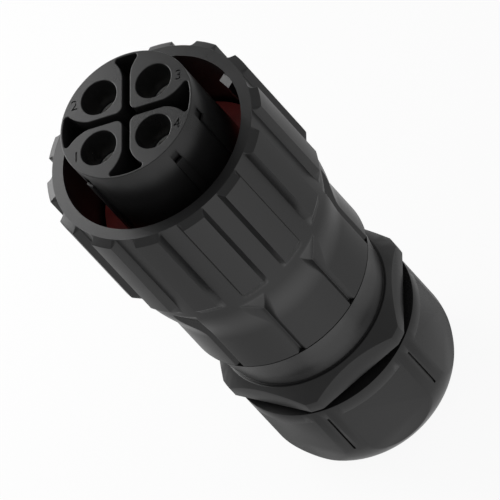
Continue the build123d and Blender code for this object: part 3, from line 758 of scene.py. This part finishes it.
@dataclass
class GripRing:
    """The coupling ring's skin: grip lands in front, finger valleys behind."""

    paint: Paintbox
    front: float = LENGTH - 8.2 * MM
    land_front: float = LENGTH - 8.9 * MM
    land_rear: float = LENGTH - 27.8 * MM
    land_foot: float = LENGTH - 30.0 * MM
    waist_top: float = LENGTH - 31.7 * MM
    waist_foot: float = LENGTH - 40.0 * MM
    rear: float = LENGTH - 48.35 * MM
    floor_radius: float = 17.0 * MM
    land_radius: float = 18.248 * MM
    waist_radius: float = 15.65 * MM
    mouth_radius: float = 15.15 * MM
    bore_radius: float = 12.66 * MM
    ledge: float = 55.0 * MM
    land_count: int = 14
    land_phase: float = 9.14
    land_top: float = 5.9
    land_base: float = 8.0
    valley_count: int = 9
    valley_phase: float = 6.4
    valley_radius: float = 15.05 * MM
    valley_half_width: float = 2.3 * MM
    valley_front: float = LENGTH - 31.3 * MM
    valley_ramp: float = 5.0 * MM
    valley_lip: float = 0.12 * MM
    lug_phase: float = 39.2
    lug_top: float = LENGTH - 10.5 * MM
    lug_foot: float = LENGTH - 16.5 * MM
    lug_height: float = 1.2 * MM
    lug_width: float = 2.4 * MM
    lug_count: int = 3
    lug_foot_slope: float = 1.0 * MM
    lug_top_slope: float = 0.5 * MM
    nib_radius: float = 13.75 * MM
    nib_width: float = 2.0 * MM
    nib_height: float = 2.6 * MM
    sunk: float = 0.4 * MM
    end_margin: float = 0.5 * MM
    waist_margin: float = 1.5 * MM
    crease_angle: float = 14.0

    def heights(self) -> list[float]:
        """Heights of the skin's rows, closer together where the form turns."""
        spans = [
            (self.rear, self.rear + self.end_margin, 4),
            (self.rear + self.end_margin, self.waist_foot - self.waist_margin, 10),
            (self.waist_foot - self.waist_margin, self.land_rear + self.end_margin, 60),
            (self.land_rear + self.end_margin, self.land_front - self.end_margin, 8),
            (self.land_front - self.end_margin, self.front, 10),
        ]
        rows = [low + (high - low) * i / count for low, high, count in spans for i in range(count)]
        return [*rows, self.front]

    def columns(self) -> list[float]:
        """Angles of the columns, closer together at the lands' side walls."""
        step = 360.0 / self.land_count
        foot, top, middle = self.land_base, self.land_top, step / 2
        cuts = [(-middle, -foot, 16), (-foot, -top, 4), (-top, top, 24), (top, foot, 4), (foot, middle, 16)]
        place = [low + (high - low) * i / count for low, high, count in cuts for i in range(count)]
        return [math.radians(self.land_phase + step * k + a) for k in range(self.land_count) for a in place]

    def lugs(self) -> list[bpy.types.Object]:
        """The bayonet ribs inside the mouth, with sloped ends, and the stop nib."""
        root = self.mouth_radius + self.sunk
        tip = self.mouth_radius - self.lug_height
        profile = [
            (root, self.lug_foot),
            (tip, self.lug_foot + self.lug_foot_slope),
            (tip, self.lug_top - self.lug_top_slope),
            (root, self.lug_top),
        ]
        upright = Matrix.Rotation(math.radians(90.0), 4, "X")
        made = []
        for i in range(self.lug_count):
            lug = plate(f"lug_{i}", [profile], (-self.lug_width / 2, self.lug_width / 2))
            turn = Matrix.Rotation(math.radians(self.lug_phase + 360.0 / self.lug_count * i), 4, "Z")
            lug.data.transform(turn @ upright)
            made.append(lug)
        rise = (self.ledge - self.sunk, self.ledge + self.nib_height)
        made.append(spoke("nib", (self.nib_radius, root), self.nib_width, rise, self.lug_phase))
        return made

    def blank(self) -> bpy.types.Mesh:
        """The turned blank that the rule shapes, marked where it is skin."""
        skin = [(self.floor_radius, z) for z in self.heights()]
        inside = [
            (self.mouth_radius, self.front),
            (self.mouth_radius, self.ledge),
            (self.bore_radius, self.ledge),
            (self.bore_radius, self.rear),
        ]
        profile = skin + inside
        angles = self.columns()
        mesh = lathe("coupling_ring_skin", profile, angles)
        mark = mesh.attributes.new("skin", "FLOAT", "POINT")
        row = [1.0] * len(skin) + [0.0] * len(inside)
        mark.data.foreach_set("value", row * len(angles))
        return mesh

    def inputs(self) -> dict[str, float]:
        """The rule's named inputs, in degrees and millimetres."""
        return {
            "Land Step": 360.0 / self.land_count,
            "Land Phase": self.land_phase,
            "Valley Step": 360.0 / self.valley_count,
            "Valley Phase": self.valley_phase,
            "Valley Radius": self.valley_radius / MM,
            "Valley Half Width": self.valley_half_width / MM,
        }

    def tree(self) -> RuleTree:
        """The rule: radius of the skin from its angle and height, in millimetres."""
        sheet = RuleTree("grip_rule", list(self.inputs()))
        place = sheet.wire(sheet.add("GeometryNodeInputPosition"))
        split = sheet.add("ShaderNodeSeparateXYZ", values={0: place})
        x, y, z = (sheet.wire(split, i) for i in range(3))
        turn = sheet.maths("ARCTAN2", y, x) * (180 / math.pi)
        z = z / MM
        mm = {key: getattr(self, key) / MM for key in (
            "front", "land_front", "land_rear", "land_foot", "waist_top", "waist_foot", "valley_front",
            "floor_radius", "land_radius", "waist_radius",
        )}
        fall = mm["floor_radius"] - mm["waist_radius"]
        body = mm["waist_radius"] + fall * z.ramp(mm["waist_foot"], mm["waist_top"])
        # grip lands
        off_land = (turn - sheet.given("Land Phase")).fold(0.5 * sheet.given("Land Step"))
        flank = off_land.line(self.land_top, self.land_base, 1.0, 0.0)
        rise = mm["land_radius"] - mm["floor_radius"]
        tail = z.line(mm["land_foot"], mm["land_rear"], 0.0, rise)
        nose = z.line(mm["land_front"], mm["front"], rise, 0.0)
        land = flank * tail.least(nose)
        # finger valleys
        off_valley = (turn - sheet.given("Valley Phase")).fold(0.5 * sheet.given("Valley Step"))
        off_valley = off_valley * (math.pi / 180)
        slope = (mm["floor_radius"] - sheet.given("Valley Radius")) / sheet.given("Valley Half Width")
        wall = sheet.given("Valley Radius") / (
            sheet.maths("COSINE", off_valley) - slope * sheet.maths("SINE", off_valley)
        )
        ramp_foot = mm["valley_front"] - self.valley_ramp / MM
        depths = (self.valley_radius / MM, mm["floor_radius"])
        run_in = z.line(ramp_foot, mm["valley_front"], *depths, hold=False)
        valley = wall.most(run_in)
        radius = body.smooth_least(valley, self.valley_lip / MM) + land
        skin = sheet.add("GeometryNodeInputNamedAttribute", {"data_type": "FLOAT"}, {"Name": "skin"})
        was = sheet.maths("SQRT", x * x + y * y) / MM
        chosen = sheet.wire(skin)
        scale = (radius / was) * chosen + (1 - chosen)
        moved = sheet.add("ShaderNodeCombineXYZ", values={0: x * scale, 1: y * scale, 2: z * MM})
        shaped = sheet.add("GeometryNodeSetPosition", values={
            "Geometry": sheet.source.outputs["Geometry"], "Position": moved.outputs[0],
        })
        sheet.end(shaped.outputs[0], self.paint.materials[Slot.PLASTIC])
        return sheet

    def build(self) -> None:
        """Make the skin and set it on the coupling ring's body."""
        skin = run_tree(self.blank(), self.tree().tree, self.inputs(), "ring_shaped")
        piece = joined([skin, *self.lugs()], "ring_skin")
        even_shading(piece, self.crease_angle)
        self.paint.dress(piece, Slot.PLASTIC)
        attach(piece, "coupling_ring")
        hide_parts("coupling_ring")
        LOG.info("coupling_ring: %d faces, %d lands", len(piece.data.polygons), self.land_count)


@dataclass(frozen=True)
class Lamp:
    """A soft rectangular lamp, placed by the object's own angles."""

    name: str
    azimuth: float
    elevation: float
    distance: float
    width: float
    height: float
    power: float
    target: tuple[float, float, float] = (0.0, 0.0, LENGTH / 2)

    def build(self) -> None:
        """Add the lamp, pointed at its target."""
        LOG.info("%s: %.3f W", self.name, self.power)
        data = bpy.data.lights.new(self.name, "AREA")
        data.shape = "RECTANGLE"
        data.size = self.width
        data.size_y = self.height
        data.energy = self.power
        lamp = bpy.data.objects.new(self.name, data)
        turn, lift = math.radians(self.azimuth), math.radians(self.elevation)
        out = Vector((math.cos(turn) * math.cos(lift), math.sin(turn) * math.cos(lift), math.sin(lift)))
        target = Vector(self.target)
        lamp.location = target + self.distance * out
        lamp.rotation_mode = "QUATERNION"
        lamp.rotation_quaternion = (-out).to_track_quat("-Z", "Y")
        bpy.context.scene.collection.objects.link(lamp)


@dataclass
class Studio:
    """Floor, soft light and the camera."""

    camera_azimuth: float = -56.3
    camera_elevation: float = 46.5
    camera_roll: float = 42.72
    focal_pixels: float = 15400.0
    face_distance: float = 2.305
    face_pixel: tuple[float, float] = (125.8, 114.2)
    image_size: float = 500.0
    sensor: float = 36.0
    dark_reach: float = 0.02
    pale_reach: float = 0.09
    floor_size: float = 6.0
    paper_colour: tuple[float, float, float, float] = (0.8, 0.8, 0.8, 1.0)
    floor_white: float = 0.93
    near_glow: float = 0.8
    far_glow: float = 0.9
    side_dimming: float = 0.5
    sky: float = 0.4

    def camera(self) -> None:
        """Place the camera so that the mating face falls where the photograph has it."""
        turn, lift = math.radians(self.camera_azimuth), math.radians(self.camera_elevation)
        back = Vector((math.cos(turn) * math.cos(lift), math.sin(turn) * math.cos(lift), math.sin(lift)))
        level = Vector((0, 0, 1)).cross(back).normalized()
        rise = back.cross(level)
        roll = math.radians(self.camera_roll)
        right = level * math.cos(roll) - rise * math.sin(roll)
        up = level * math.sin(roll) + rise * math.cos(roll)
        data = bpy.data.cameras.new("camera")
        data.sensor_width = self.sensor
        data.lens = self.focal_pixels * self.sensor / self.image_size
        data.clip_start, data.clip_end = 0.1, 20.0
        camera = bpy.data.objects.new("camera", data)
        half = self.image_size / 2
        per_pixel = self.face_distance / self.focal_pixels
        across = (self.face_pixel[0] - half) * per_pixel
        above = (half - self.face_pixel[1]) * per_pixel
        face = Vector((0, 0, LENGTH))
        camera.location = face - across * right - above * up + self.face_distance * back
        camera.rotation_mode = "QUATERNION"
        camera.rotation_quaternion = Matrix((right, up, back)).transposed().to_quaternion()
        bpy.context.scene.collection.objects.link(camera)
        bpy.context.scene.camera = camera

    def across(self) -> tuple[float, float, float]:
        """The level direction to the camera's right, before its roll."""
        turn = math.radians(self.camera_azimuth)
        return (-math.sin(turn), math.cos(turn), 0.0)

    def floor(self) -> None:
        """A pale floor that shows white and keeps a faint shadow. Glossy rays see its glow as a painted
        reflection, darker near the object's foot and dimmer to the sides.
        """
        bpy.ops.mesh.primitive_plane_add(size=self.floor_size)
        plane = bpy.context.object
        plane.name = "floor"
        made = bpy.data.materials.new("floor")
        made.use_nodes = True
        sheet = NodeSheet(made.node_tree)
        path = sheet.add("ShaderNodeLightPath")
        direct = sheet.wire(path, "Is Camera Ray").most(sheet.wire(path, "Is Transmission Ray"))
        place = sheet.add("ShaderNodeTexCoord")
        reach = sheet.add("ShaderNodeVectorMath", {"operation": "LENGTH"}, {0: place.outputs["Object"]})
        sides = {0: place.outputs["Object"], 1: self.across()}
        level = sheet.add("ShaderNodeVectorMath", {"operation": "DOT_PRODUCT"}, sides)
        distance = sheet.wire(reach, "Value")
        side = sheet.wire(level, "Value") / distance
        # painted reflection: the glow that glossy rays see is a painted shade close to the object's foot, and
        # dimmer to the sides
        painted_reflection = distance.ramp(self.dark_reach, self.pale_reach, self.near_glow, self.far_glow)
        painted_reflection = painted_reflection * (1.0 - self.side_dimming * side * side)
        seen = (self.floor_white * direct).most(sheet.wire(path, "Is Glossy Ray"))
        paper = sheet.add("ShaderNodeBsdfDiffuse", values={"Color": self.paper_colour})
        glow = sheet.add("ShaderNodeEmission", values={"Color": direct.most(painted_reflection), "Strength": 1.0})
        mix = sheet.add("ShaderNodeMixShader", values={0: seen, 1: paper.outputs[0], 2: glow.outputs[0]})
        sheet.add("ShaderNodeOutputMaterial", values={"Surface": mix.outputs[0]})
        plane.data.materials.append(made)

    def world(self) -> None:
        """A dim even sky that the camera sees as white."""
        world = bpy.data.worlds.new("studio")
        bpy.context.scene.world = world
        world.use_nodes = True
        sheet = NodeSheet(world.node_tree)
        path = sheet.add("ShaderNodeLightPath")
        seen = sheet.wire(path, "Is Camera Ray").most(sheet.wire(path, "Is Transmission Ray"))
        sky = sheet.add("ShaderNodeBackground", values={"Color": (1, 1, 1, 1), "Strength": self.sky})
        white = sheet.add("ShaderNodeBackground", values={"Color": (1, 1, 1, 1), "Strength": 1.0})
        mix = sheet.add("ShaderNodeMixShader", values={0: seen, 1: sky.outputs[0], 2: white.outputs[0]})
        sheet.add("ShaderNodeOutputWorld", values={"Surface": mix.outputs[0]})

    def build(self) -> None:
        """Set up the whole studio."""
        self.floor()
        self.world()
        for lamp in LAMPS:
            lamp.build()
        self.camera()
        bpy.context.scene.view_settings.view_transform = "Standard"


LAMPS = (
    Lamp("left_box", -150.0, 15.0, 0.6, 0.3, 0.5, 0.05),
    Lamp("right_box", 35.0, 15.0, 0.6, 0.3, 0.5, 0.06),
    Lamp("face_box", 123.7, 46.5, 0.1, 0.12, 0.12, 0.17, (-0.0765, 0.0109, 0.0417)),
)

NODE_FINISHES = {
    Slot.PLASTIC: (
        "coupling_ring", "contact_insert", "backshell", "gland_nut", "inner_shell",
        "contact_retainer", "clamp_cage", "slip_ring",
    ),
    Slot.SEAL: ("interface_seal",),
    Slot.RUBBER: ("insert_o_ring", "shell_o_ring", "cable_grommet"),
    Slot.CONTACT: tuple(f"socket_contact_{n}" for n in range(1, 5)),
    Slot.STEEL: (
        *(f"contact_hood_{n}" for n in range(1, 5)),
        *(f"terminal_screw_{n}" for n in range(1, 5)),
        "insert_circlip", "wave_washer",
    ),
}


def main() -> None:
    """Load the frame, dress its nodes, add the made pieces and the studio."""
    logging.basicConfig(level=logging.INFO)
    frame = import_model()
    paint = Paintbox()
    for slot, nodes in NODE_FINISHES.items():
        for node in nodes:
            paint.dress(frame["nodes"][node], slot)
    for finish in EDGE_FINISHES:
        finish.build(frame["nodes"], paint)
    InsertFace(paint).build(frame["nodes"])
    GripRing(paint).build()
    Studio().build()


if __name__ == "__main__":
    main()
